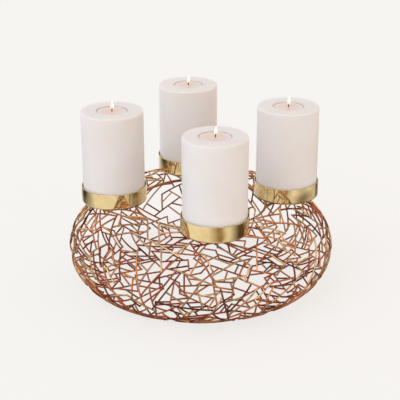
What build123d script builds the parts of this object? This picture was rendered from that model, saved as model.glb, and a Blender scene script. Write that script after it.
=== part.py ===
"""Advent candle holder: a hollow nest of short welded wires that carries four candle cups."""

import math
import os

import numpy as np
from build123d import *

# Nest shell, measured over the outside of the wires
NEST_DIAMETER = 348.8
NEST_HEIGHT = 115.8
HOLE_DIAMETER = 169.0
HOLE_RIM_DROP = 7.8
EQUATOR_SHARE = 0.495
SHOULDER_POWER = 1.75
BELLY_POWER = 2.3

# Wires
WIRE_DIAMETER = 2.2
WELD_SINK = 0.5
HOOP_SINK = 0.12
WIRE_GAP = 1.8
SHORTEST_WIRE = 44.0
LONGEST_WIRE = 72.0
SHORTEST_LINK = 18.0
LONGEST_LINK = 72.0
SHORTEST_TAIL = 0.5
LONGEST_TAIL = 1.5
SIDE_COVER = 0.080
BASE_COVER = 0.052
RIM_COVER = 0.090
HEEL_COVER = 0.125
LEAST_WELD_ANGLE = 38.0
RIM_BAND = 12.0
HEEL_BAND = 22.0
HEEL_HEIGHT = 26.0
LAYOUT_SEED = 12

# Cups, on a circle over the crest of the nest
CUP_CIRCLE_DIAMETER = 226.0
CUP_SKEW = 1.95
CUP_DIAMETER = 84.4
CUP_HEIGHT = 21.4
CUP_WALL = 1.0
CUP_HEEL_RADIUS = 3.0
CUP_SEAT_GAP = 0.4
CUP_LIP_RADIUS = 0.45

# Pillar candles
CANDLE_DIAMETER = 80.0
CANDLE_HEIGHT = 120.0
CANDLE_TOP_RADIUS = 1.8
CANDLE_HEEL_RADIUS = 1.4

# Tea lights, let into the candle tops
TEA_LIGHT_DIAMETER = 39.0
TEA_LIGHT_HEIGHT = 16.4
TEA_LIGHT_SHELL = 0.4
TEA_LIGHT_LIP_RADIUS = 0.35
SOCKET_CLEARANCE = 0.5
SOCKET_SINK = 0.5
SOCKET_EDGE_RADIUS = 0.4
WAX_DROP = 1.1
WICK_DIAMETER = 1.5
WICK_STAND = 5.0
WICK_TIP_RADIUS = 0.45
SUSTAINER_DIAMETER = 14.0
SUSTAINER_THICKNESS = 0.4
SUSTAINER_NECK_DIAMETER = 3.0
SUSTAINER_NECK_HEIGHT = 5.0

# Braze beads between the crown wires and the cups
BEADS_PER_CUP = 4
BEAD_FOOT_DIAMETER = 3.4
BEAD_HEAD_DIAMETER = 5.2
BEAD_SPACING = 16.0
BEAD_SINK = 0.15

# Where the base begins, as a share of the nest's height
BASE_SHARE = 0.08

# Positions that follow from the sizes above
WIRE_RADIUS = WIRE_DIAMETER / 2
END_SHORT = WIRE_RADIUS - WELD_SINK
HOOP_SPACING = WIRE_DIAMETER - HOOP_SINK
CREST_RADIUS = CUP_CIRCLE_DIAMETER / 2
HEEL_RADIUS = CREST_RADIUS - HEEL_BAND
CUP_BASE = NEST_HEIGHT + CUP_SEAT_GAP
CANDLE_BASE = CUP_BASE + CUP_WALL
CANDLE_TOP = CANDLE_BASE + CANDLE_HEIGHT
SOCKET_RADIUS = TEA_LIGHT_DIAMETER / 2 + SOCKET_CLEARANCE
SOCKET_FLOOR = CANDLE_TOP - SOCKET_SINK - TEA_LIGHT_HEIGHT
RIM_HOOPS = {"hole_rim_hoop": 0, "hole_rim_upper_hoop": HOOP_SPACING}
CUP_BEARINGS = {
    "right": -CUP_SKEW,
    "back": 90 + CUP_SKEW,
    "left": 180 - CUP_SKEW,
    "front": -90 + CUP_SKEW,
}

# How finely the wires are laid out
OUTLINE_STEP = 0.25
SAMPLES = 6
RIM_POINTS = 60
SIDE_POINTS = 200
BASE_POINTS = 60
BEAD_PLACES = 40
SAME_PLACE = 1e-3
PARALLEL = 1e-9
STRAIGHT_BOW = 0.02
HOOP_ARCS = 24
TRIES = 3000
PROBES = 2000
ATTEMPTS = 6
LOCAL_REACH = 14.0
BACK_OFF = 0.34
LAYING_ROUNDS = (True, True, True, False)
PROBE_REACH = 50.0
LEAST_SIDE = 5.0
CATCH = 3.4
TIP = 4.0
COURSES = "abc"
rng = np.random.default_rng(LAYOUT_SEED)


def shell_outline():
    """Outline of the shell in radius and height, from the hole's rim to the middle of the base."""
    run = CREST_RADIUS - HOLE_DIAMETER / 2
    bend = (run**2 + HOLE_RIM_DROP**2) / (2 * HOLE_RIM_DROP)
    swing = np.linspace(math.asin(run / bend), 0, RIM_POINTS)
    reach = NEST_DIAMETER / 2 - CREST_RADIUS
    equator = NEST_HEIGHT * EQUATOR_SHARE
    turn = np.linspace(0, math.pi / 2, SIDE_POINTS)
    rise = NEST_HEIGHT - equator
    flat = np.linspace(CREST_RADIUS, 0, BASE_POINTS)
    radius = np.concatenate(
        [
            CREST_RADIUS - bend * np.sin(swing),
            CREST_RADIUS + reach * np.sin(turn[1:]) ** (2 / SHOULDER_POWER),
            CREST_RADIUS + reach * np.cos(turn[1:-1]) ** (2 / BELLY_POWER),
            flat,
        ]
    )
    height = np.concatenate(
        [
            NEST_HEIGHT - bend * (1 - np.cos(swing)),
            equator + rise * np.cos(turn[1:]) ** (2 / SHOULDER_POWER),
            equator - equator * np.sin(turn[1:-1]) ** (2 / BELLY_POWER),
            0 * flat,
        ]
    )
    length = np.concatenate([[0], np.cumsum(np.hypot(np.diff(radius), np.diff(height)))])
    even = np.arange(0, length[-1], OUTLINE_STEP)
    return np.stack([np.interp(even, length, radius), np.interp(even, length, height)], axis=1)


OUTLINE = shell_outline()
SLOPE = np.gradient(OUTLINE, axis=0)
SLOPE = SLOPE / np.linalg.norm(SLOPE, axis=1)[:, None]
OUTWARD = np.stack([-SLOPE[:, 1], SLOPE[:, 0]], axis=1)
RING_AREA = 2 * math.pi * OUTLINE[:, 0] * OUTLINE_STEP


def spin(radial, height, angle):
    """Turn radius and height at an angle into points in space."""
    return np.stack([radial * np.cos(angle), radial * np.sin(angle), height], axis=-1)


CURVE = OUTLINE - WIRE_RADIUS * OUTWARD


def on_shell(point):
    """Nearest place to a point on the surface that the middles of the wires lie in."""
    radial = math.hypot(point[0], point[1])
    nearest = np.argmin((CURVE[:, 0] - radial) ** 2 + (CURVE[:, 1] - point[2]) ** 2)
    share = CURVE[nearest, 0] / radial
    return np.array([point[0] * share, point[1] * share, CURVE[nearest, 1]])


def cross(a, b):
    """Cross product of two vectors."""
    return np.array([a[1] * b[2] - a[2] * b[1], a[2] * b[0] - a[0] * b[2], a[0] * b[1] - a[1] * b[0]])


def size_of(vector):
    """Length of a vector."""
    return math.sqrt(vector @ vector)


class Strand:
    """One wire: an arc through three places, known by lengths along it from the middle one."""

    def __init__(self, start, middle, end, course=None):
        self.course = course
        first = middle - start
        whole = end - start
        across = cross(first, whole)
        size = size_of(across)
        self.middle = middle
        self.straight = size / size_of(whole) < STRAIGHT_BOW
        if self.straight:
            self.along = whole / size_of(whole)
            self.low = -size_of(first)
            self.high = size_of(end - middle)
        else:
            lean = (whole @ whole) * cross(across, first) + (first @ first) * cross(whole, across)
            self.centre = start + lean / (2 * size**2)
            self.radius = size_of(middle - self.centre)
            self.axis = across / size
            self.out = (middle - self.centre) / self.radius
            self.along = cross(self.axis, self.out)
            self.low = -self.radius * self.angle_to(start)
            self.high = self.radius * self.angle_to(end)
        self.sample()

    def angle_to(self, point):
        """Angle at the centre between the middle and a point."""
        share = (point - self.centre) @ self.out / self.radius
        return math.acos(max(-1.0, min(1.0, share)))

    def at(self, length):
        """Place at a length along the wire."""
        length = np.asarray(length, float)[..., None]
        if self.straight:
            return self.middle + length * self.along
        turn = length / self.radius
        return self.centre + self.radius * (np.cos(turn) * self.out + np.sin(turn) * self.along)

    def direction(self, length):
        """Way the wire runs at a length along it."""
        if self.straight:
            return self.along
        turn = length / self.radius
        return math.cos(turn) * self.along - math.sin(turn) * self.out

    def sample(self):
        """Places along the wire for the distance tests."""
        self.points = self.at(np.linspace(self.low, self.high, SAMPLES))

    def reach(self, low, high):
        """Give the wire new ends."""
        self.low = low
        self.high = high
        self.sample()

    def shift(self, offset):
        """Move the whole wire."""
        self.middle = self.middle + offset
        if not self.straight:
            self.centre = self.centre + offset
        self.sample()

    def length(self):
        """Length of the wire."""
        return self.high - self.low

    def solid(self):
        """The round wire itself."""
        start = Vector(*self.at(self.low))
        section = Plane(origin=start, z_dir=Vector(*self.direction(self.low))) * Circle(WIRE_RADIUS)
        if self.straight:
            return extrude(section, amount=self.length(), dir=Vector(*self.along)).solid()
        axis = Axis(Vector(*self.centre), Vector(*self.axis))
        turn = math.degrees(self.length() / self.radius)
        return revolve(section, axis=axis, revolution_arc=turn).solid()


def approaches(strand, others):
    """Nearest distance to each of the other wires, and how far along both wires it lies, from 0 to 1."""
    start = strand.points[:-1][None, :, None]
    step = np.diff(strand.points, axis=0)[None, :, None]
    places = np.array([other.points for other in others])
    other_start = places[:, :-1][:, None]
    other_step = np.diff(places, axis=1)[:, None]
    apart = start - other_start
    a = (step * step).sum(-1)
    b = (step * other_step).sum(-1)
    c = (step * apart).sum(-1)
    e = (other_step * other_step).sum(-1)
    f = (other_step * apart).sum(-1)
    spread = np.maximum(a * e - b * b, PARALLEL)
    here = np.clip((b * f - c * e) / spread, 0, 1)
    there = np.clip((b * here + f) / e, 0, 1)
    here = np.clip((b * there - c) / a, 0, 1)
    gap = np.linalg.norm(apart + here[..., None] * step - there[..., None] * other_step, axis=-1)
    count = len(others)
    best = gap.reshape(count, -1).argmin(axis=1)
    mine, theirs = np.unravel_index(best, gap.shape[1:])
    row = np.arange(count)
    share = (mine + here[row, mine, theirs]) / (SAMPLES - 1)
    other_share = (theirs + there[row, mine, theirs]) / (SAMPLES - 1)
    return gap[row, mine, theirs], share, other_share


class Web:
    """The wires of the shell, none touching another except where it is welded to it."""

    def __init__(self, strands):
        self.strands = []
        self.middles = np.zeros((0, 3))
        self.reaches = np.zeros(0)
        for strand in strands:
            self.add(strand)

    def add(self, strand):
        """Put one more wire in the web."""
        self.strands.append(strand)
        self.middles = np.vstack([self.middles, strand.points.mean(axis=0)])
        self.reaches = np.append(self.reaches, strand.length() / 2)

    def near(self, strand, margin):
        """The other wires of the web that can come within a margin of one wire."""
        apart = np.linalg.norm(self.middles - strand.points.mean(axis=0), axis=1)
        close = np.flatnonzero(apart < self.reaches + strand.length() / 2 + margin)
        return [self.strands[n] for n in close if self.strands[n] is not strand]

    def has_room(self, strand, held_by):
        """Does a new wire keep its distance from every wire but those that it is welded to?"""
        others = [wire for wire in self.near(strand, WIRE_DIAMETER + WIRE_GAP) if wire not in held_by]
        return not others or approaches(strand, others)[0].min() > WIRE_DIAMETER + WIRE_GAP


def settle(strand):
    """Lift a wire that dips under the base, and say whether it stays under the cups."""
    low = strand.points[:, 2].min()
    if low < WIRE_RADIUS:
        strand.shift(np.array([0, 0, WIRE_RADIUS - low]))
    return strand.points[:, 2].max() < NEST_HEIGHT - WIRE_RADIUS + CUP_SEAT_GAP / 2


def random_place():
    """A random place on the shell, spread by area, and two ways to go from there, square to each other."""
    place = rng.choice(len(RING_AREA), p=RING_AREA / RING_AREA.sum())
    angle = rng.uniform(-math.pi, math.pi)
    round_way = np.array([-math.sin(angle), math.cos(angle), 0])
    down_way = spin(SLOPE[place, 0], SLOPE[place, 1], angle)
    return spin(CURVE[place, 0], CURVE[place, 1], angle), round_way, down_way


def rim_hoop_place(inset):
    """Radius and height of a hoop at a distance along the crown from the rim."""
    return CURVE[round(inset / OUTLINE_STEP)]


def rim_hoop_strands(inset):
    """A hoop round the hole, as short arcs for the distance tests."""
    radial, height = rim_hoop_place(inset)
    edges = np.linspace(0, 2 * math.pi, HOOP_ARCS + 1)
    hoop = []
    for low, high in zip(edges[:-1], edges[1:]):
        hoop.append(Strand(*[spin(radial, height, angle) for angle in (low, (low + high) / 2, high)]))
    return hoop


def wire_near(places, strand):
    """Length of a wire within reach of each of many places."""
    parts = (strand.points[:-1] + strand.points[1:]) / 2
    apart = np.linalg.norm(places[:, None] - parts[None], axis=-1)
    return (apart < LOCAL_REACH).sum(axis=1) * strand.length() / len(parts)


def link_through(place, heading, web):
    """A wire through a place, from the side of one wire to the side of another, if one fits."""
    back = on_shell(place - PROBE_REACH * heading)
    ahead = on_shell(place + PROBE_REACH * heading)
    if min(size_of(back - place), size_of(ahead - place)) < LEAST_SIDE:
        return None
    probe = Strand(back, place, ahead)
    near = web.near(probe, CATCH)
    if not near:
        return None
    gap, share, other_share = approaches(probe, near)
    along = probe.low + share * probe.length()
    ends = []
    for side in (-1, 1):
        met = [n for n in np.argsort(side * along) if gap[n] < CATCH and side * along[n] > LEAST_SIDE]
        if not met:
            return None
        wire = near[met[0]]
        to_tip = min(other_share[met[0]], 1 - other_share[met[0]]) * wire.length()
        if wire.course is not None and to_tip < TIP:
            return None
        ends.append((wire, wire.low + other_share[met[0]] * wire.length()))
    start, end = [wire.at(length) for wire, length in ends]
    if not SHORTEST_LINK < size_of(end - start) < LONGEST_LINK:
        return None
    held_by = [wire for wire, _ in ends]
    courses = [wire.course for wire in held_by]
    course = min(n for n in range(len(COURSES)) if n not in courses)
    strand = Strand(start, on_shell((start + end) / 2), end, course)
    least = math.cos(math.radians(LEAST_WELD_ANGLE))
    for (wire, length), own_length in zip(ends, (strand.low, strand.high)):
        if abs(strand.direction(own_length) @ wire.direction(length)) > least:
            return None
    strand.reach(strand.low + END_SHORT, strand.high - END_SHORT)
    if None in courses:
        held_by = held_by + hoops
    if settle(strand) and web.has_room(strand, held_by):
        return strand
    return None


def wanted_cover(places):
    """Length of wire wanted on each square millimetre at each place."""
    cover = np.full(len(places), SIDE_COVER)
    radial = np.linalg.norm(places[:, :2], axis=1)
    cover[radial < HOLE_DIAMETER / 2 + RIM_BAND] = RIM_COVER
    cover[places[:, 2] < NEST_HEIGHT * BASE_SHARE] = BASE_COVER
    cover[(places[:, 2] < HEEL_HEIGHT) & (radial > HEEL_RADIUS)] = HEEL_COVER
    return cover


def close_opening(place, round_way, down_way, web):
    """A wire across the opening at a place, in a way that it fits."""
    for _ in range(ATTEMPTS):
        turn = rng.uniform(0, math.pi)
        strand = link_through(place, math.cos(turn) * round_way + math.sin(turn) * down_way, web)
        if strand is not None:
            return strand
    return None


def lay_loose(place, round_way, down_way, web):
    """A wire at a place where there is nothing yet to weld it to, if there is room."""
    half = rng.uniform(SHORTEST_WIRE, LONGEST_WIRE) / 2
    turn = rng.uniform(0, math.pi)
    heading = math.cos(turn) * round_way + math.sin(turn) * down_way
    start = on_shell(place - half * heading)
    end = on_shell(place + half * heading)
    if min(size_of(start - place), size_of(end - place)) < LEAST_SIDE:
        return None
    strand = Strand(start, place, end, 0)
    if settle(strand) and web.has_room(strand, []):
        return strand
    return None


def grow(web, loose_ones):
    """Lay wire after wire, each where the shell is barest, until it is covered evenly."""
    probes = [random_place() for _ in range(PROBES)]
    places = np.array([place for place, _, _ in probes])
    around = (np.linalg.norm(places[:, None] - places[None], axis=-1) < LOCAL_REACH).sum(axis=1)
    wanted = wanted_cover(places) * around * RING_AREA.sum() / PROBES
    laid = sum(wire_near(places, strand) for strand in web.strands)
    for _ in range(TRIES):
        barest = np.argmin(laid / wanted)
        if laid[barest] > wanted[barest]:
            break
        strand = close_opening(*probes[barest], web)
        if strand is None and loose_ones:
            strand = lay_loose(*probes[barest], web)
        if strand is None:
            laid[barest] += BACK_OFF * wanted[barest]
        else:
            web.add(strand)
            laid = laid + wire_near(places, strand)


def welds(strand, web):
    """Where other wires are welded to this one, as lengths along it."""
    others = web.near(strand, WIRE_RADIUS)
    if not others:
        return np.array([])
    gap, share, _ = approaches(strand, others)
    return strand.low + share[gap < WIRE_RADIUS] * strand.length()


def is_held(strand, web):
    """Is a wire welded in at least two places, well apart?"""
    places = welds(strand, web)
    return len(places) > 1 and np.ptp(places) > LEAST_SIDE


def drop_loose(web):
    """Leave out wires that nothing holds, until every one that stays is held."""
    while True:
        kept = [strand for strand in web.strands if strand.course is None or is_held(strand, web)]
        if len(kept) == len(web.strands):
            return web
        web = Web(kept)


def trim(strand, web):
    """Cut a wire a little past its last weld at both ends."""
    places = welds(strand, web)
    tails = rng.uniform(SHORTEST_TAIL, LONGEST_TAIL, 2)
    low = max(strand.low, places.min() - tails[0])
    high = min(strand.high, places.max() + tails[1])
    strand.reach(low, high)


def zone_of(strand):
    """Name of the part of the nest that a wire belongs to."""
    middle = strand.at((strand.low + strand.high) / 2)
    turn = math.degrees(math.atan2(middle[1], middle[0]))
    side = min(CUP_BEARINGS, key=lambda name: abs((turn - CUP_BEARINGS[name] + 180) % 360 - 180))
    if middle[2] > NEST_HEIGHT * EQUATOR_SHARE:
        return f"{side}_upper"
    return f"{side}_lower"


def turned_profile(*corners):
    """A closed profile in radius and height, turned into a round solid on the Z axis."""
    outline = Polyline(*[(radial, 0, height) for radial, height in corners], close=True)
    return revolve(make_face(outline), axis=Axis.Z, revolution_arc=360)


def round_edges(solid, height, radius, round_by):
    """Round the circular edges of a solid at one height and radius."""
    chosen = [
        edge
        for edge in solid.edges().filter_by(GeomType.CIRCLE)
        if abs(edge.arc_center.Z - height) < SAME_PLACE and abs(edge.radius - radius) < SAME_PLACE
    ]
    return fillet(chosen, round_by)


def candle_cup():
    """A spun cup with a rounded heel and lip, standing at its own height on the Z axis."""
    outer = CUP_DIAMETER / 2
    inner = outer - CUP_WALL
    top = CUP_BASE + CUP_HEIGHT
    cup = turned_profile(
        (0, CUP_BASE),
        (outer, CUP_BASE),
        (outer, top),
        (inner, top),
        (inner, CANDLE_BASE),
        (0, CANDLE_BASE),
    )
    cup = round_edges(cup, CUP_BASE, outer, CUP_HEEL_RADIUS)
    cup = round_edges(cup, CANDLE_BASE, inner, CUP_HEEL_RADIUS - CUP_WALL)
    cup = round_edges(cup, top, outer, CUP_LIP_RADIUS)
    return round_edges(cup, top, inner, CUP_LIP_RADIUS)


def pillar_candle():
    """A pillar candle with a round socket in its top."""
    radius = CANDLE_DIAMETER / 2
    candle = turned_profile(
        (0, CANDLE_BASE),
        (radius, CANDLE_BASE),
        (radius, CANDLE_TOP),
        (SOCKET_RADIUS, CANDLE_TOP),
        (SOCKET_RADIUS, SOCKET_FLOOR),
        (0, SOCKET_FLOOR),
    )
    candle = round_edges(candle, CANDLE_BASE, radius, CANDLE_HEEL_RADIUS)
    candle = round_edges(candle, CANDLE_TOP, radius, CANDLE_TOP_RADIUS)
    return round_edges(candle, CANDLE_TOP, SOCKET_RADIUS, SOCKET_EDGE_RADIUS)


def tea_light():
    """The shell, wax, wick and wick sustainer of a tea light, standing in its socket."""
    outer = TEA_LIGHT_DIAMETER / 2
    inner = outer - TEA_LIGHT_SHELL
    floor = SOCKET_FLOOR + TEA_LIGHT_SHELL
    rim = SOCKET_FLOOR + TEA_LIGHT_HEIGHT - TEA_LIGHT_LIP_RADIUS
    wax_top = SOCKET_FLOOR + TEA_LIGHT_HEIGHT - WAX_DROP
    wick = WICK_DIAMETER / 2
    foot = SUSTAINER_DIAMETER / 2
    neck = SUSTAINER_NECK_DIAMETER / 2
    plate_top = floor + SUSTAINER_THICKNESS
    neck_top = floor + SUSTAINER_NECK_HEIGHT
    shell = turned_profile(
        (0, SOCKET_FLOOR),
        (outer, SOCKET_FLOOR),
        (outer, rim),
        (inner, rim),
        (inner, floor),
        (0, floor),
    )
    lip_middle = outer - TEA_LIGHT_SHELL / 2
    lip = revolve(Plane.XZ * Pos(lip_middle, rim) * Circle(TEA_LIGHT_LIP_RADIUS), axis=Axis.Z)
    sustainer = turned_profile(
        (wick, floor),
        (foot, floor),
        (foot, plate_top),
        (neck, plate_top),
        (neck, neck_top),
        (wick, neck_top),
    )
    wax = turned_profile(
        (foot, floor),
        (inner, floor),
        (inner, wax_top),
        (wick, wax_top),
        (wick, neck_top),
        (neck, neck_top),
        (neck, plate_top),
        (foot, plate_top),
    )
    tip = wax_top + WICK_STAND
    thread = turned_profile((0, floor), (wick, floor), (wick, tip), (0, tip))
    thread = round_edges(thread, tip, wick, WICK_TIP_RADIUS)
    return {
        "tea_light_shell": shell + lip,
        "tea_light_wax": wax,
        "tea_light_wick": thread,
        "wick_sustainer": sustainer,
    }


def braze_beads(bearing, wires):
    """Beads that fill the space between the highest wires under a cup and the cup's bottom."""
    turn = math.radians(bearing)
    centre = spin(CREST_RADIUS, CUP_BASE, turn)
    limit = CUP_DIAMETER / 2 - CUP_HEEL_RADIUS - BEAD_HEAD_DIAMETER / 2
    shares = np.linspace(0, 1, BEAD_PLACES)
    places = np.concatenate([strand.at(strand.low + shares * strand.length()) for strand in wires])
    under = np.linalg.norm((places - centre)[:, :2], axis=1) < limit
    places = places[under]
    places = places[np.argsort(-places[:, 2])]
    chosen = []
    for place in places:
        if all(np.linalg.norm(place - other) > BEAD_SPACING for other in chosen):
            chosen.append(place)
    beads = []
    for place in chosen[:BEADS_PER_CUP]:
        foot = place[2] + WIRE_RADIUS - BEAD_SINK
        bead = Cone(
            BEAD_FOOT_DIAMETER / 2,
            BEAD_HEAD_DIAMETER / 2,
            CUP_BASE - foot,
            align=(Align.CENTER, Align.CENTER, Align.MIN),
        )
        beads.append(Pos(place[0], place[1], foot) * bead)
    return beads


def write(name, solids):
    """Write one named piece, or one named group of like pieces."""
    if len(solids) == 1:
        shape = solids[0]
    else:
        shape = Compound(children=[solid.solid() for solid in solids])
    export_step(shape, f"parts/{name}.step")


os.makedirs("parts", exist_ok=True)

# The nest
hoops = [strand for inset in RIM_HOOPS.values() for strand in rim_hoop_strands(inset)]
web = Web(hoops)
for loose_ones in LAYING_ROUNDS:
    grow(web, loose_ones)
    web = drop_loose(web)
wires = [strand for strand in web.strands if strand.course is not None]
for wire in wires:
    trim(wire, web)
groups = {}
for wire in wires:
    groups.setdefault(f"{zone_of(wire)}_wires_{COURSES[wire.course]}", []).append(wire.solid())
for name, solids in groups.items():
    write(name, solids)
for name, inset in RIM_HOOPS.items():
    section = Plane.XZ * Pos(*rim_hoop_place(inset)) * Circle(WIRE_RADIUS)
    write(name, [revolve(section, axis=Axis.Z)])

# The cups and what stands in them
cup = candle_cup()
candle = pillar_candle()
light = tea_light()
for side, bearing in CUP_BEARINGS.items():
    stand = Rot(0, 0, bearing) * Pos(CREST_RADIUS, 0, 0)
    write(f"{side}_braze_beads", braze_beads(bearing, wires))
    write(f"{side}_candle_cup", [stand * cup])
    write(f"{side}_candle", [stand * candle])
    for piece, shape in light.items():
        write(f"{side}_{piece}", [stand * shape])
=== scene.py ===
"""Looks of an advent candle holder: a welded wire nest, four cups, pillar candles and tea lights."""

import logging
import math
from dataclasses import dataclass
from enum import Enum
from typing import Any

import bpy
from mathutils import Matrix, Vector


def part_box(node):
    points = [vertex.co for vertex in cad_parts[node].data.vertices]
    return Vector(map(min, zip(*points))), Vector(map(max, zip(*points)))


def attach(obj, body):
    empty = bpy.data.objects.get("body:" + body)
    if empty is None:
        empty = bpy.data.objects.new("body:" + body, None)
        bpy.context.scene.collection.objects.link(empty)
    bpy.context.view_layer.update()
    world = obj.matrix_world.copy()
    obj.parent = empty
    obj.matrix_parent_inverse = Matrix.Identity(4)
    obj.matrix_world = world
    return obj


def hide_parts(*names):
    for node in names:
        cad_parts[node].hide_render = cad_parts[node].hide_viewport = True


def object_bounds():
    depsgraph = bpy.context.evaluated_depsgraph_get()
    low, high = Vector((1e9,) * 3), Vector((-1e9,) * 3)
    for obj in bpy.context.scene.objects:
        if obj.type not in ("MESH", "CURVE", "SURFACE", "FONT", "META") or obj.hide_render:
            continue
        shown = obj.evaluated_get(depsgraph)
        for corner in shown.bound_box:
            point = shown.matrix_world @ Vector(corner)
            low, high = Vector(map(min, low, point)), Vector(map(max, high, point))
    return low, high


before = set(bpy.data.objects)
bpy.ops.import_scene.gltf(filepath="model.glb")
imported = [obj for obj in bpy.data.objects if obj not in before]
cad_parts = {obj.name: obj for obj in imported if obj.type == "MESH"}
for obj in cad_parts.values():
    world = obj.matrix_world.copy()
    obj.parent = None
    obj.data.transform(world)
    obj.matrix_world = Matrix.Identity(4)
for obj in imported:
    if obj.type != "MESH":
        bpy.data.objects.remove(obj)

CAD_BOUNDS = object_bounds()
LOG = logging.getLogger("candle_holder")

MM = 0.001
MERGE_DISTANCE = 0.002 * MM
CREASE_DEG = 50.0
FACING_UP = 0.9
WAX_IOR = 1.44
NEST_BODY = "wire nest with cups"

# sockets of the Mix node for colours, which share their names with those for numbers
MIX_SHARE, MIX_FIRST, MIX_SECOND = 0, 6, 7
MIX_COLOUR = 2

Colour = tuple[float, float, float, float]
Pair = tuple[float, float]
Triple = tuple[float, float, float]
Tree = bpy.types.NodeTree
Socket = bpy.types.NodeSocket


class Side(Enum):
    """The four stations round the nest."""

    FRONT = "front"
    RIGHT = "right"
    BACK = "back"
    LEFT = "left"


def linear(colour: str) -> Colour:
    """Turn an sRGB hex colour into linear light.

    Args:
        colour: Six hex digits, with or without a leading hash.

    Returns:
        Red, green, blue and an alpha of one.
    """
    digits = colour.lstrip("#")
    channels = [int(digits[i : i + 2], 16) / 255 for i in (0, 2, 4)]
    red, green, blue = [c / 12.92 if c <= 0.04045 else ((c + 0.055) / 1.055) ** 2.4 for c in channels]
    return (red, green, blue, 1.0)


def add_node(
    tree: Tree,
    kind: str,
    feeds: dict | None = None,
    stops: list[tuple[float, str]] | None = None,
    **settings: Any,
) -> bpy.types.Node:
    """Add a shader node with its settings and links.

    Args:
        tree: Node tree that takes the node.
        kind: Blender's identifier of the node.
        feeds: Socket name or index to a value, or to the output socket that drives it.
        stops: Position and sRGB hex colour of each stop of a colour ramp, from left to right.
        **settings: Properties of the node.

    Returns:
        The new node.
    """
    node = tree.nodes.new(kind)
    for name, value in settings.items():
        setattr(node, name, value)
    for key, value in (feeds or {}).items():
        if isinstance(value, Socket):
            tree.links.new(value, node.inputs[key])
        else:
            node.inputs[key].default_value = value
    if stops:
        elements = node.color_ramp.elements
        while len(elements) < len(stops):
            elements.new(1.0)
        for element, (position, colour) in zip(elements, stops):
            element.position = position
            element.color = linear(colour)
    return node


@dataclass(frozen=True)
class Finish:
    """A surface finish, which makes one Blender material."""

    name: str

    def material(self) -> bpy.types.Material:
        """Make the material, or return it if it was made before.

        Returns:
            The material.
        """
        made = bpy.data.materials.get(self.name)
        if made is None:
            made = bpy.data.materials.new(self.name)
            made.use_nodes = True
            tree = made.node_tree
            tree.nodes.clear()
            add_node(tree, "ShaderNodeOutputMaterial", {"Surface": self.shade(tree)})
        return made

    def shade(self, tree: Tree) -> Socket:
        """Add the shader nodes to an empty tree, and return the socket of the finished surface."""
        raise NotImplementedError


@dataclass(frozen=True)
class CopperWire(Finish):
    """Copper-plated steel wire: each wire has its own tone, with tarnish in patches and painted shade, darker
    and redder, near the base.
    """

    shades: tuple[str, ...] = ("#5c3329", "#b96947", "#e29564", "#f4ca97", "#cdaa7a", "#99573c")
    tarnish: str = "#4d3026"
    tarnish_from: Pair = (0.5, 0.72)
    tarnish_most: float = 0.7
    painted_shade_tint: str = "#e0b098"
    painted_shade_mm: Pair = (6.0, 48.0)
    patch_mm: float = 9.0
    # coarser than the marks on real drawn wire, so that it shows
    grain_mm: float = 0.7
    grain_depth_mm: float = 0.05
    roughness: Pair = (0.08, 0.22)

    def shade(self, tree: Tree) -> Socket:
        """Add the shader nodes.

        Args:
            tree: Empty node tree of the material.

        Returns:
            The socket that gives the finished surface.
        """
        place = add_node(tree, "ShaderNodeTexCoord").outputs["Object"]
        wire = add_node(tree, "ShaderNodeNewGeometry").outputs["Random Per Island"]
        step = 1 / (len(self.shades) - 1)
        stops = [(i * step, shade) for i, shade in enumerate(self.shades)]
        tone = add_node(tree, "ShaderNodeValToRGB", {"Fac": wire}, stops)
        patch = add_node(
            tree,
            "ShaderNodeTexNoise",
            {"Vector": place, "Scale": 1 / (self.patch_mm * MM), "Detail": 4.0, "Roughness": 0.6},
        ).outputs["Fac"]
        start, full = self.tarnish_from
        stain = add_node(
            tree,
            "ShaderNodeMapRange",
            {"Value": patch, "From Min": start, "From Max": full, "To Max": self.tarnish_most},
        )
        stained = add_node(
            tree,
            "ShaderNodeMix",
            {
                MIX_SHARE: stain.outputs["Result"],
                MIX_FIRST: tone.outputs["Color"],
                MIX_SECOND: linear(self.tarnish),
            },
            data_type="RGBA",
        )
        # painted shade: the colour turns darker and redder towards the base, standing in for the shaded floor
        # that the low wires reflect
        height = add_node(tree, "ShaderNodeSeparateXYZ", {"Vector": place}).outputs["Z"]
        low, high = self.painted_shade_mm
        painted_shade = add_node(
            tree,
            "ShaderNodeMapRange",
            {"Value": height, "From Min": high * MM, "From Max": low * MM},
        )
        colour = add_node(
            tree,
            "ShaderNodeMix",
            {
                MIX_SHARE: painted_shade.outputs["Result"],
                MIX_FIRST: stained.outputs[MIX_COLOUR],
                MIX_SECOND: linear(self.painted_shade_tint),
            },
            data_type="RGBA",
            blend_type="MULTIPLY",
        )
        grain = add_node(
            tree,
            "ShaderNodeTexNoise",
            {"Vector": place, "Scale": 1 / (self.grain_mm * MM), "Detail": 2.0},
        )
        smooth, rough = self.roughness
        gloss = add_node(tree, "ShaderNodeMapRange", {"Value": patch, "To Min": smooth, "To Max": rough})
        bump = add_node(
            tree,
            "ShaderNodeBump",
            {"Height": grain.outputs["Fac"], "Strength": 0.15, "Distance": self.grain_depth_mm * MM},
        )
        metal = add_node(
            tree,
            "ShaderNodeBsdfPrincipled",
            {
                "Base Color": colour.outputs[MIX_COLOUR],
                "Metallic": 1.0,
                "Roughness": gloss.outputs["Result"],
                "Normal": bump.outputs["Normal"],
            },
        )
        return metal.outputs["BSDF"]


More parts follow.
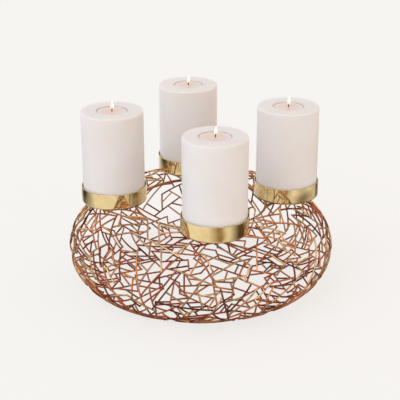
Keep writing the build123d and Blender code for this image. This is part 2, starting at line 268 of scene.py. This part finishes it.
@dataclass(frozen=True)
class PolishedBrass(Finish):
    """Polished brass spun from sheet: near mirror, with soft waves that bend what it reflects."""

    colour: str = "#f3dda6"
    shadow: str = "#e4c78c"
    smear_mm: float = 22.0
    wave_mm: float = 17.0
    wave_depth_mm: float = 0.55
    roughness: Pair = (0.05, 0.11)

    def shade(self, tree: Tree) -> Socket:
        """Add the shader nodes.

        Args:
            tree: Empty node tree of the material.

        Returns:
            The socket that gives the finished surface.
        """
        place = add_node(tree, "ShaderNodeTexCoord").outputs["Object"]
        smear = add_node(
            tree,
            "ShaderNodeTexNoise",
            {"Vector": place, "Scale": 1 / (self.smear_mm * MM), "Detail": 5.0, "Roughness": 0.65},
        ).outputs["Fac"]
        tone = add_node(
            tree,
            "ShaderNodeValToRGB",
            {"Fac": smear},
            [(0.3, self.shadow), (0.6, self.colour)],
        )
        smooth, rough = self.roughness
        gloss = add_node(tree, "ShaderNodeMapRange", {"Value": smear, "To Min": smooth, "To Max": rough})
        wave = add_node(
            tree,
            "ShaderNodeTexNoise",
            {"Vector": place, "Scale": 1 / (self.wave_mm * MM), "Detail": 0.0},
        )
        bump = add_node(
            tree,
            "ShaderNodeBump",
            {"Height": wave.outputs["Fac"], "Strength": 1.0, "Distance": self.wave_depth_mm * MM},
        )
        metal = add_node(
            tree,
            "ShaderNodeBsdfPrincipled",
            {
                "Base Color": tone.outputs["Color"],
                "Metallic": 1.0,
                "Roughness": gloss.outputs["Result"],
                "Normal": bump.outputs["Normal"],
            },
        )
        return metal.outputs["BSDF"]


@dataclass(frozen=True)
class PlainMetal(Finish):
    """A small metal part with cloudy gloss, such as braze, foil or tin."""

    colour: str
    dull: str
    cloud_mm: float = 2.5
    cloud_depth_mm: float = 0.1
    roughness: Pair = (0.25, 0.45)

    def shade(self, tree: Tree) -> Socket:
        """Add the shader nodes.

        Args:
            tree: Empty node tree of the material.

        Returns:
            The socket that gives the finished surface.
        """
        place = add_node(tree, "ShaderNodeTexCoord").outputs["Object"]
        cloud = add_node(
            tree,
            "ShaderNodeTexNoise",
            {"Vector": place, "Scale": 1 / (self.cloud_mm * MM), "Detail": 4.0, "Roughness": 0.6},
        ).outputs["Fac"]
        tone = add_node(
            tree,
            "ShaderNodeValToRGB",
            {"Fac": cloud},
            [(0.35, self.dull), (0.65, self.colour)],
        )
        smooth, rough = self.roughness
        gloss = add_node(tree, "ShaderNodeMapRange", {"Value": cloud, "To Min": smooth, "To Max": rough})
        bump = add_node(
            tree,
            "ShaderNodeBump",
            {"Height": cloud, "Strength": 0.2, "Distance": self.cloud_depth_mm * MM},
        )
        metal = add_node(
            tree,
            "ShaderNodeBsdfPrincipled",
            {
                "Base Color": tone.outputs["Color"],
                "Metallic": 1.0,
                "Roughness": gloss.outputs["Result"],
                "Normal": bump.outputs["Normal"],
            },
        )
        return metal.outputs["BSDF"]


@dataclass(frozen=True)
class Wax(Finish):
    """Cast wax: light goes a little way in, the colour is faintly clouded and the skin is satin."""

    colour: str = "#f4efec"
    cloud: str = "#f2ebe7"
    cloud_mm: float = 40.0
    skin_mm: float = 1.6
    skin_depth_mm: float = 0.1
    depth_mm: float = 6.0
    scatter: float = 0.6
    scatter_reach: Triple = (1.0, 0.72, 0.5)
    roughness: Pair = (0.36, 0.5)

    def shade(self, tree: Tree) -> Socket:
        """Add the shader nodes.

        Args:
            tree: Empty node tree of the material.

        Returns:
            The socket that gives the finished surface.
        """
        place = add_node(tree, "ShaderNodeTexCoord").outputs["Object"]
        cloud = add_node(
            tree,
            "ShaderNodeTexNoise",
            {"Vector": place, "Scale": 1 / (self.cloud_mm * MM), "Detail": 3.0},
        ).outputs["Fac"]
        tone = add_node(
            tree,
            "ShaderNodeValToRGB",
            {"Fac": cloud},
            [(0.35, self.cloud), (0.65, self.colour)],
        )
        skin = add_node(
            tree,
            "ShaderNodeTexNoise",
            {"Vector": place, "Scale": 1 / (self.skin_mm * MM), "Detail": 3.0},
        )
        smooth, rough = self.roughness
        gloss = add_node(tree, "ShaderNodeMapRange", {"Value": cloud, "To Min": smooth, "To Max": rough})
        bump = add_node(
            tree,
            "ShaderNodeBump",
            {"Height": skin.outputs["Fac"], "Strength": 0.1, "Distance": self.skin_depth_mm * MM},
        )
        wax = add_node(
            tree,
            "ShaderNodeBsdfPrincipled",
            {
                "Base Color": tone.outputs["Color"],
                "Roughness": gloss.outputs["Result"],
                "Normal": bump.outputs["Normal"],
                "IOR": WAX_IOR,
                "Subsurface Weight": self.scatter,
                "Subsurface Radius": self.scatter_reach,
                "Subsurface Scale": self.depth_mm * MM,
            },
        )
        return wax.outputs["BSDF"]


@dataclass(frozen=True)
class MeltedWax(Finish):
    """Paraffin round a burning wick: a wet, deeper coloured pool inside a pale rim that is still hard."""

    pool_level: float
    rim_level: float
    pool: str = "#efdad1"
    rim: str = "#f3e4de"
    cloud_mm: float = 5.0
    cloud_depth_mm: float = 0.3
    depth_mm: float = 3.0
    scatter: float = 0.4
    scatter_reach: Triple = (1.0, 0.6, 0.4)
    roughness: Pair = (0.06, 0.4)

    def shade(self, tree: Tree) -> Socket:
        """Add the shader nodes.

        Args:
            tree: Empty node tree of the material.

        Returns:
            The socket that gives the finished surface.
        """
        place = add_node(tree, "ShaderNodeTexCoord").outputs["Object"]
        height = add_node(tree, "ShaderNodeSeparateXYZ", {"Vector": place}).outputs["Z"]
        hard = add_node(
            tree,
            "ShaderNodeMapRange",
            {"Value": height, "From Min": self.pool_level, "From Max": self.rim_level},
        ).outputs["Result"]
        tone = add_node(
            tree,
            "ShaderNodeValToRGB",
            {"Fac": hard},
            [(0.0, self.pool), (0.5, self.rim)],
        )
        smooth, rough = self.roughness
        gloss = add_node(tree, "ShaderNodeMapRange", {"Value": hard, "To Min": smooth, "To Max": rough})
        cloud = add_node(
            tree,
            "ShaderNodeTexNoise",
            {"Vector": place, "Scale": 1 / (self.cloud_mm * MM), "Detail": 3.0},
        )
        bump = add_node(
            tree,
            "ShaderNodeBump",
            {"Height": cloud.outputs["Fac"], "Strength": 0.2, "Distance": self.cloud_depth_mm * MM},
        )
        wax = add_node(
            tree,
            "ShaderNodeBsdfPrincipled",
            {
                "Base Color": tone.outputs["Color"],
                "Roughness": gloss.outputs["Result"],
                "Normal": bump.outputs["Normal"],
                "IOR": WAX_IOR,
                "Subsurface Weight": self.scatter,
                "Subsurface Radius": self.scatter_reach,
                "Subsurface Scale": self.depth_mm * MM,
            },
        )
        return wax.outputs["BSDF"]


@dataclass(frozen=True)
class BurntCotton(Finish):
    """Braided cotton wick: cream low down, charred black where it burns."""

    burnt_from: float
    burnt_to: float
    cotton: str = "#d8c8ae"
    char: str = "#17110e"
    strand_mm: float = 0.5
    strand_depth_mm: float = 0.2

    def shade(self, tree: Tree) -> Socket:
        """Add the shader nodes.

        Args:
            tree: Empty node tree of the material.

        Returns:
            The socket that gives the finished surface.
        """
        place = add_node(tree, "ShaderNodeTexCoord").outputs["Object"]
        height = add_node(tree, "ShaderNodeSeparateXYZ", {"Vector": place}).outputs["Z"]
        burn = add_node(
            tree,
            "ShaderNodeMapRange",
            {"Value": height, "From Min": self.burnt_from, "From Max": self.burnt_to},
        )
        tone = add_node(
            tree,
            "ShaderNodeValToRGB",
            {"Fac": burn.outputs["Result"]},
            [(0.1, self.cotton), (0.6, self.char)],
        )
        strand = add_node(
            tree,
            "ShaderNodeTexNoise",
            {"Vector": place, "Scale": 1 / (self.strand_mm * MM), "Detail": 3.0},
        )
        bump = add_node(
            tree,
            "ShaderNodeBump",
            {"Height": strand.outputs["Fac"], "Strength": 0.6, "Distance": self.strand_depth_mm * MM},
        )
        cotton = add_node(
            tree,
            "ShaderNodeBsdfPrincipled",
            {"Base Color": tone.outputs["Color"], "Roughness": 0.95, "Normal": bump.outputs["Normal"]},
        )
        return cotton.outputs["BSDF"]


@dataclass(frozen=True)
class CandleFlame(Finish):
    """Burning wax vapour: a clear blue foot, an orange skirt and a pale yellow body that gives light."""

    bottom: float
    top: float
    foot: str = "#6f7fb8"
    skirt: str = "#ffb066"
    body: str = "#fff1d2"
    strength: float = 2.0
    clear_up_to: float = 0.3
    cover: Pair = (0.15, 0.95)

    def shade(self, tree: Tree) -> Socket:
        """Add the shader nodes.

        Args:
            tree: Empty node tree of the material.

        Returns:
            The socket that gives the finished surface.
        """
        place = add_node(tree, "ShaderNodeTexCoord").outputs["Object"]
        height = add_node(tree, "ShaderNodeSeparateXYZ", {"Vector": place}).outputs["Z"]
        share = add_node(
            tree,
            "ShaderNodeMapRange",
            {"Value": height, "From Min": self.bottom, "From Max": self.top},
        ).outputs["Result"]
        tone = add_node(
            tree,
            "ShaderNodeValToRGB",
            {"Fac": share},
            [(0.0, self.foot), (0.18, self.skirt), (0.45, self.body), (0.85, self.body), (1.0, self.skirt)],
        )
        least, most = self.cover
        solid = add_node(
            tree,
            "ShaderNodeMapRange",
            {"Value": share, "From Max": self.clear_up_to, "To Min": least, "To Max": most},
        )
        glow = add_node(
            tree,
            "ShaderNodeEmission",
            {"Color": tone.outputs["Color"], "Strength": self.strength},
        )
        clear = add_node(tree, "ShaderNodeBsdfTransparent")
        flame = add_node(
            tree,
            "ShaderNodeMixShader",
            {"Fac": solid.outputs["Result"], 1: clear.outputs["BSDF"], 2: glow.outputs["Emission"]},
        )
        return flame.outputs["Shader"]


@dataclass(frozen=True)
class StudioPaper(Finish):
    """Matt off-white background paper with a barely visible tooth."""

    colour: str = "#faf8f5"
    # coarser than the tooth of real paper, so that it shows
    tooth_mm: float = 3.0
    tooth_depth_mm: float = 0.05
    plain_share: float = 0.76

    def shade(self, tree: Tree) -> Socket:
        """Add the shader nodes.

        Args:
            tree: Empty node tree of the material.

        Returns:
            The socket that gives the finished surface.
        """
        place = add_node(tree, "ShaderNodeTexCoord").outputs["Object"]
        tooth = add_node(
            tree,
            "ShaderNodeTexNoise",
            {"Vector": place, "Scale": 1 / (self.tooth_mm * MM), "Detail": 2.0},
        )
        bump = add_node(
            tree,
            "ShaderNodeBump",
            {"Height": tooth.outputs["Fac"], "Strength": 0.04, "Distance": self.tooth_depth_mm * MM},
        )
        paper = add_node(
            tree,
            "ShaderNodeBsdfPrincipled",
            {
                "Base Color": linear(self.colour),
                "Roughness": 0.9,
                "Specular IOR Level": 0.1,
                "Normal": bump.outputs["Normal"],
            },
        )
        plain = add_node(tree, "ShaderNodeEmission", {"Color": linear(self.colour), "Strength": 1.0})
        sheet = add_node(
            tree,
            "ShaderNodeMixShader",
            {"Fac": self.seen_share(tree), 1: paper.outputs["BSDF"], 2: plain.outputs["Emission"]},
        )
        return sheet.outputs["Shader"]

    def seen_share(self, tree: Tree) -> Socket:
        """Work out how plain the paper looks to the camera, in polished metal and through clear things.

        Args:
            tree: Node tree of the material.

        Returns:
            The socket of the plain share, which is zero for the light that the paper throws back.
        """
        rays = add_node(tree, "ShaderNodeLightPath").outputs
        direct = add_node(
            tree,
            "ShaderNodeMath",
            {0: rays["Is Camera Ray"], 1: rays["Is Glossy Ray"]},
            operation="ADD",
        )
        seen = add_node(
            tree,
            "ShaderNodeMath",
            {0: direct.outputs["Value"], 1: rays["Is Transmission Ray"]},
            operation="ADD",
            use_clamp=True,
        )
        share = add_node(
            tree,
            "ShaderNodeMath",
            {0: seen.outputs["Value"], 1: self.plain_share},
            operation="MULTIPLY",
        )
        return share.outputs["Value"]


@dataclass(frozen=True)
class DarkCard(Finish):
    """Matt dark card with a feathered edge, as a photographer lays down to give polished metal its darks."""

    colour: str = "#523a22"
    feather: float = 0.8

    def shade(self, tree: Tree) -> Socket:
        """Add the shader nodes.

        Args:
            tree: Empty node tree of the material.

        Returns:
            The socket that gives the finished surface.
        """
        place = add_node(tree, "ShaderNodeTexCoord").outputs["Generated"]
        # zero in the middle of the card and one at its edges
        centred = add_node(
            tree,
            "ShaderNodeVectorMath",
            {0: place, 1: (2.0, 2.0, 0.0), 2: (-1.0, -1.0, 0.0)},
            operation="MULTIPLY_ADD",
        )
        fade = add_node(
            tree,
            "ShaderNodeTexGradient",
            {"Vector": centred.outputs["Vector"]},
            gradient_type="SPHERICAL",
        )
        solid = add_node(tree, "ShaderNodeMapRange", {"Value": fade.outputs["Fac"], "From Max": self.feather})
        clear = add_node(tree, "ShaderNodeBsdfTransparent")
        card = add_node(
            tree,
            "ShaderNodeBsdfPrincipled",
            {"Base Color": linear(self.colour), "Roughness": 0.9},
        )
        sheet = add_node(
            tree,
            "ShaderNodeMixShader",
            {"Fac": solid.outputs["Result"], 1: clear.outputs["BSDF"], 2: card.outputs["BSDF"]},
        )
        return sheet.outputs["Shader"]


def dress(piece: bpy.types.Object, finish: Finish) -> None:
    """Put a finish on every material slot of a piece.

    Args:
        piece: Object that takes the finish.
        finish: Finish to put on.
    """
    if not piece.material_slots:
        piece.data.materials.append(None)
    for slot in piece.material_slots:
        slot.material = finish.material()


def only(piece: bpy.types.Object) -> None:
    """Make one object the only selected and the active one.

    Args:
        piece: Object to select.
    """
    bpy.ops.object.select_all(action="DESELECT")
    piece.select_set(True)
    bpy.context.view_layer.objects.active = piece


def settle(name: str) -> bpy.types.Object:
    """Name the primitive that was just added and put its place and scale into its mesh.

    Args:
        name: Name of the new piece.

    Returns:
        The new piece.
    """
    piece = bpy.context.object
    piece.name = name
    bpy.ops.object.transform_apply(location=True, rotation=True, scale=True)
    return piece


def close_mesh() -> None:
    """Turn all faces outwards and leave edit mode."""
    bpy.ops.mesh.select_all(action="SELECT")
    bpy.ops.mesh.normals_make_consistent(inside=False)
    bpy.ops.object.mode_set(mode="OBJECT")


def smooth_copy(node: str, name: str) -> bpy.types.Object:
    """Copy a CAD node, merge its loose triangles and shade it smooth.

    Args:
        node: Name of the CAD node.
        name: Name of the new piece.

    Returns:
        The new piece, which still has to be given a body.
    """
    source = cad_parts[node]
    piece = bpy.data.objects.new(name, source.data.copy())
    bpy.context.scene.collection.objects.link(piece)
    only(piece)
    bpy.ops.object.mode_set(mode="EDIT")
    bpy.ops.mesh.select_all(action="SELECT")
    bpy.ops.mesh.customdata_custom_splitnormals_clear()
    bpy.ops.mesh.remove_doubles(threshold=MERGE_DISTANCE)
    close_mesh()
    bpy.ops.object.shade_smooth_by_angle(angle=math.radians(CREASE_DEG))
    return piece


def centre_of(node: str) -> Vector:
    """Find the middle of a CAD node's box, in metres."""
    low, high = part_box(node)
    return (Vector(low) + Vector(high)) / 2


@dataclass
class WireNest:
    """The welded nest: short wires in groups that don't touch each other, and the hoops round the hole."""

    body: str
    finish: CopperWire
    marks: tuple[str, ...] = ("_wires", "_hoop")

    def nodes(self) -> list[str]:
        """List the CAD nodes of the wires and the hoops."""
        return sorted(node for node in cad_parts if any(mark in node for mark in self.marks))

    def build(self) -> None:
        """Make a smooth copy of each node, so that every wire is one round piece with its own shade."""
        for node in self.nodes():
            piece = smooth_copy(node, f"{node}_drawn")
            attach(piece, self.body)
            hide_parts(node)
            dress(piece, self.finish)
            LOG.info("wires %s", piece.name)


@dataclass
class CandleStation:
    """One cup with its pillar candle and tea light."""

    side: Side
    wax_sides: int = 64
    # share of the radius, and height in mm over the level of the cold wax
    wax_rings: tuple[Pair, ...] = (
        (1.0, 0.8),
        (0.97, 0.55),
        (0.91, 0.32),
        (0.8, 0.16),
        (0.7, 0.08),
        (0.62, -0.06),
        (0.54, -0.16),
        (0.4, -0.2),
        (0.24, -0.2),
        (0.12, -0.1),
        (0.07, 0.1),
    )
    wax_hard_mm: float = 0.35
    wick_sides: int = 12
    wick_steps: int = 6
    wick_bend_mm: float = 0.8
    wick_twist_deg: float = 20.0
    wick_taper: float = 0.72
    wick_char_mm: float = 2.0
    flame_sides: int = 20
    flame_height_mm: float = 12.4
    flame_width_mm: float = 3.5
    flame_lean_mm: float = 0.5
    flame_overlap_mm: float = 2.2
    # share of the width at even steps, from the foot up to the point
    flame_girth: tuple[float, ...] = (0.35, 0.72, 0.94, 1.0, 0.93, 0.74, 0.5, 0.28, 0.1)
    flame_levels: int = 2

    def build(self) -> None:
        """Dress the CAD nodes and add the melted wax, the burning wick and the flame."""
        self.dress_nodes()
        for piece in (self.melted_wax(), self.burning_wick(), self.flame()):
            LOG.info("modelled %s", piece.name)

    def dress_nodes(self) -> None:
        """Put the finishes on the nodes whose shape stays."""
        finishes = {
            # warm mirror that carries the room and the wires
            "candle_cup": (PolishedBrass("spun_brass"), "polished_brass"),
            # dull gold beads between the cup and the wires
            "braze_beads": (PlainMetal("brass_braze", "#a9824c", "#7d5c38"), "braze"),
            # soft white with a satin skin
            "candle": (Wax("pillar_wax"), "candle_wax"),
            # thin bright line round the tea light; its warm tint is the flame's light, painted into the
            # foil's colour
            "tea_light_shell": (PlainMetal("pressed_aluminium", "#f2dcca", "#dfc1aa"), "tea_light_foil"),
            # plain grey foot, under the wax
            "wick_sustainer": (PlainMetal("tinplate", "#c4c4c2", "#8f8f8d"), "tin"),
        }
        for part, (finish, slot) in finishes.items():
            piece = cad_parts[f"{self.side.value}_{part}"]
            dress(piece, finish)
            LOG.info("dressed %s", piece.name)

    def melted_wax(self) -> bpy.types.Object:
        """Model the tea light's wax while it burns: a shallow pool that climbs to the shell's edge.

        Returns:
            The new piece.
        """
        node = f"{self.side.value}_tea_light_wax"
        low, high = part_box(node)
        middle = centre_of(node)
        bpy.ops.object.select_all(action="DESELECT")
        bpy.ops.mesh.primitive_circle_add(
            vertices=self.wax_sides,
            radius=(high[0] - low[0]) / 2,
            fill_type="NGON",
            location=(middle.x, middle.y, low[2]),
        )
        wax = settle(f"{self.side.value}_melted_wax")
        bpy.ops.object.mode_set(mode="EDIT")
        bpy.ops.mesh.select_all(action="SELECT")
        last_share, last_level = 1.0, low[2]
        for share, lift_mm in self.wax_rings:
            level = high[2] + lift_mm * MM
            bpy.ops.mesh.extrude_region_move(TRANSFORM_OT_translate={"value": (0, 0, level - last_level)})
            bpy.ops.transform.resize(value=(share / last_share, share / last_share, 1.0))
            last_share, last_level = share, level
        close_mesh()
        bpy.ops.object.shade_smooth_by_angle(angle=math.radians(CREASE_DEG))
        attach(wax, f"{self.side.value} tea light")
        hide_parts(node)
        # pale pink pool with a wet shine
        dress(wax, MeltedWax("paraffin", high[2], high[2] + self.wax_hard_mm * MM))
        return wax

    def burning_wick(self) -> bpy.types.Object:
        """Model the wick as a braid that bows over at its burnt tip.

        Returns:
            The new piece.
        """
        node = f"{self.side.value}_tea_light_wick"
        low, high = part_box(node)
        middle = centre_of(node)
        wax_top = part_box(f"{self.side.value}_tea_light_wax")[1][2]
        bpy.ops.object.select_all(action="DESELECT")
        bpy.ops.mesh.primitive_cylinder_add(
            vertices=self.wick_sides,
            radius=(high[0] - low[0]) / 2,
            depth=wax_top - low[2],
            location=(middle.x, middle.y, (wax_top + low[2]) / 2),
        )
        wick = settle(f"{self.side.value}_burnt_wick")
        bpy.ops.object.mode_set(mode="EDIT")
        bpy.ops.mesh.select_all(action="DESELECT")
        bpy.ops.object.mode_set(mode="OBJECT")
        for face in wick.data.polygons:
            face.select = face.normal.z > FACING_UP
        bpy.ops.object.mode_set(mode="EDIT")
        rise = (high[2] - wax_top) / self.wick_steps
        for step in range(1, self.wick_steps + 1):
            bow = self.wick_bend_mm * MM * (2 * step - 1) / self.wick_steps**2
            bpy.ops.mesh.extrude_region_move(TRANSFORM_OT_translate={"value": (bow, 0, rise)})
            bpy.ops.transform.rotate(
                value=math.radians(self.wick_twist_deg),
                orient_axis="Z",
                center_override=(middle.x, middle.y, wax_top + rise * step),
            )
            # only the last two steps taper
            narrow = 1.0 if step < self.wick_steps - 1 else self.wick_taper
            bpy.ops.transform.resize(value=(narrow, narrow, 1.0))
        close_mesh()
        bpy.ops.object.shade_smooth_by_angle(angle=math.radians(CREASE_DEG))
        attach(wick, f"{self.side.value} tea light")
        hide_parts(node)
        # matt black stub under the flame
        dress(wick, BurntCotton("burnt_cotton", wax_top, wax_top + self.wick_char_mm * MM))
        return wick

    def flame(self) -> bpy.types.Object:
        """Model the flame as a drop that starts at the wick's tip and ends in a point.

        Returns:
            The new piece.
        """
        node = f"{self.side.value}_tea_light_wick"
        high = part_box(node)[1]
        middle = centre_of(node)
        foot = high[2] - self.flame_overlap_mm * MM
        height = self.flame_height_mm * MM
        step = height / len(self.flame_girth)
        lean = self.flame_lean_mm * MM / len(self.flame_girth)
        bpy.ops.object.select_all(action="DESELECT")
        bpy.ops.mesh.primitive_circle_add(
            vertices=self.flame_sides,
            radius=self.flame_width_mm * MM / 2 * self.flame_girth[0],
            fill_type="NGON",
            location=(middle.x + self.wick_bend_mm * MM / 2, middle.y, foot),
        )
        flame = settle(f"{self.side.value}_flame")
        bpy.ops.object.mode_set(mode="EDIT")
        bpy.ops.mesh.select_all(action="SELECT")
        for last, share in zip(self.flame_girth, self.flame_girth[1:]):
            bpy.ops.mesh.extrude_region_move(TRANSFORM_OT_translate={"value": (lean, 0, step)})
            bpy.ops.transform.resize(value=(share / last, share / last, 1.0))
        bpy.ops.mesh.extrude_region_move(TRANSFORM_OT_translate={"value": (0, 0, step)})
        bpy.ops.mesh.merge(type="CENTER")
        close_mesh()
        only(flame)
        bpy.ops.object.modifier_add(type="SUBSURF")
        rounding = flame.modifiers[-1]
        rounding.levels = self.flame_levels
        rounding.render_levels = self.flame_levels
        bpy.ops.object.modifier_apply(modifier=rounding.name)
        bpy.ops.object.shade_smooth()
        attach(flame, f"{self.side.value} tea light")
        # small bright tongue, orange where it leaves the wick
        dress(flame, CandleFlame("candle_flame", foot, foot + height))
        return flame


@dataclass(frozen=True)
class Card:
    """A dark card on the floor: where it lies and how far it reaches each way, in metres, and its finish."""

    name: str
    middle: Pair
    reach: Pair
    finish: DarkCard


@dataclass
class Studio:
    """Floor, lights and camera of the product shot."""

    floor_size: float = 30.0
    wall_colour: str = "#ffffff"
    ceiling_colour: str = "#d9dce1"
    left_tint: str = "#eaf4ff"
    right_tint: str = "#ffe8d0"
    sky_strength: float = 1.04
    key_colour: str = "#f2f8ff"
    key_strength: float = 0.65
    key_from_deg: Pair = (-50.0, 48.0)
    key_spread_deg: float = 40.0
    card_lift_mm: float = 1.0
    cards: tuple[Card, ...] = (
        Card("card_before", (0.05, -0.46), (0.19, 0.24), DarkCard("tan_card", "#a98f6c")),
        Card("card_under", (0.0, 0.0), (0.3, 0.3), DarkCard("umber_card", "#3a2a20")),
        Card("card_left", (-0.46, 0.26), (0.36, 0.38), DarkCard("black_card", "#24190f")),
        Card("card_right", (0.46, 0.26), (0.34, 0.36), DarkCard("brown_card")),
        Card("card_beside", (0.31, -0.14), (0.22, 0.28), DarkCard("brown_card")),
    )
    lens_mm: float = 96.467
    eye_mm: Triple = (-155.67, -1302.0, 639.91)
    look_deg: Pair = (6.737, 21.969)
    shift: Pair = (0.00192, 0.00005)

    def build(self) -> None:
        """Lay the floor, hang the lights and set the camera."""
        self.floor()
        self.dark_cards()
        self.sky()
        self.key_light()
        self.camera()

    def floor(self) -> None:
        """Lay a sheet of background paper under the object."""
        bpy.ops.object.select_all(action="DESELECT")
        bpy.ops.mesh.primitive_plane_add(size=self.floor_size, location=(0, 0, CAD_BOUNDS[0].z))
        sheet = bpy.context.object
        sheet.name = "studio_floor"
        dress(sheet, StudioPaper("studio_paper"))

    def dark_cards(self) -> None:
        """Lay dark cards on the floor that only the metal's reflections show."""
        level = CAD_BOUNDS[0].z + self.card_lift_mm * MM
        for card in self.cards:
            bpy.ops.object.select_all(action="DESELECT")
            # a plane of two metres reaches one metre each way, so its scale is the card's reach
            bpy.ops.mesh.primitive_plane_add(size=2.0, location=(*card.middle, level))
            bpy.context.object.scale = (*card.reach, 1.0)
            sheet = settle(card.name)
            sheet.visible_camera = False
            sheet.visible_diffuse = False
            sheet.visible_shadow = False
            dress(sheet, card.finish)

    def sky(self) -> None:
        """Fill the room with soft light, brighter from the walls than above and warmer from the right."""
        world = bpy.data.worlds.new("studio_room")
        bpy.context.scene.world = world
        world.use_nodes = True
        tree = world.node_tree
        tree.nodes.clear()
        way = add_node(tree, "ShaderNodeTexCoord").outputs["Generated"]
        axes = add_node(tree, "ShaderNodeSeparateXYZ", {"Vector": way}).outputs
        tone = add_node(
            tree,
            "ShaderNodeValToRGB",
            {"Fac": axes["Z"]},
            [(0.0, self.wall_colour), (1.0, self.ceiling_colour)],
        )
        across = add_node(tree, "ShaderNodeMapRange", {"Value": axes["X"], "From Min": -1.0, "From Max": 1.0})
        tint = add_node(
            tree,
            "ShaderNodeValToRGB",
            {"Fac": across.outputs["Result"]},
            [(0.0, self.left_tint), (1.0, self.right_tint)],
        )
        walls = add_node(
            tree,
            "ShaderNodeMix",
            {MIX_SHARE: 1.0, MIX_FIRST: tone.outputs["Color"], MIX_SECOND: tint.outputs["Color"]},
            data_type="RGBA",
            blend_type="MULTIPLY",
        )
        room = add_node(
            tree,
            "ShaderNodeBackground",
            {"Color": walls.outputs[MIX_COLOUR], "Strength": self.sky_strength},
        )
        add_node(tree, "ShaderNodeOutputWorld", {"Surface": room.outputs["Background"]})

    def key_light(self) -> None:
        """Hang a large soft lamp to the left of the camera."""
        lamp = bpy.data.lights.new("soft_key", "SUN")
        lamp.energy = self.key_strength
        lamp.color = linear(self.key_colour)[:3]
        lamp.angle = math.radians(self.key_spread_deg)
        key = bpy.data.objects.new("soft_key", lamp)
        bpy.context.scene.collection.objects.link(key)
        turn, rise = (math.radians(a) for a in self.key_from_deg)
        source = Vector((math.sin(turn) * math.cos(rise), -math.cos(turn) * math.cos(rise), math.sin(rise)))
        key.rotation_mode = "QUATERNION"
        key.rotation_quaternion = (-source).to_track_quat("-Z", "Y")

    def camera(self) -> None:
        """Set the camera where the photograph was taken from."""
        data = bpy.data.cameras.new("camera")
        data.lens = self.lens_mm
        data.shift_x, data.shift_y = self.shift
        data.dof.use_dof = False
        camera = bpy.data.objects.new("camera", data)
        bpy.context.scene.collection.objects.link(camera)
        turn, fall = (math.radians(a) for a in self.look_deg)
        gaze = Vector((math.sin(turn) * math.cos(fall), math.cos(turn) * math.cos(fall), -math.sin(fall)))
        camera.location = Vector(self.eye_mm) * MM
        camera.rotation_mode = "QUATERNION"
        camera.rotation_quaternion = gaze.to_track_quat("-Z", "Y")
        bpy.context.scene.camera = camera


def main() -> None:
    """Build the dressed part and its studio."""
    logging.basicConfig(level=logging.INFO, format="%(name)s: %(message)s")
    bpy.context.scene.view_settings.view_transform = "Standard"
    # brown to pale gold wires, each a little different from the next
    WireNest(NEST_BODY, CopperWire("copper_plated_wire")).build()
    for side in Side:
        CandleStation(side).build()
    Studio().build()


if __name__ == "__main__":
    main()
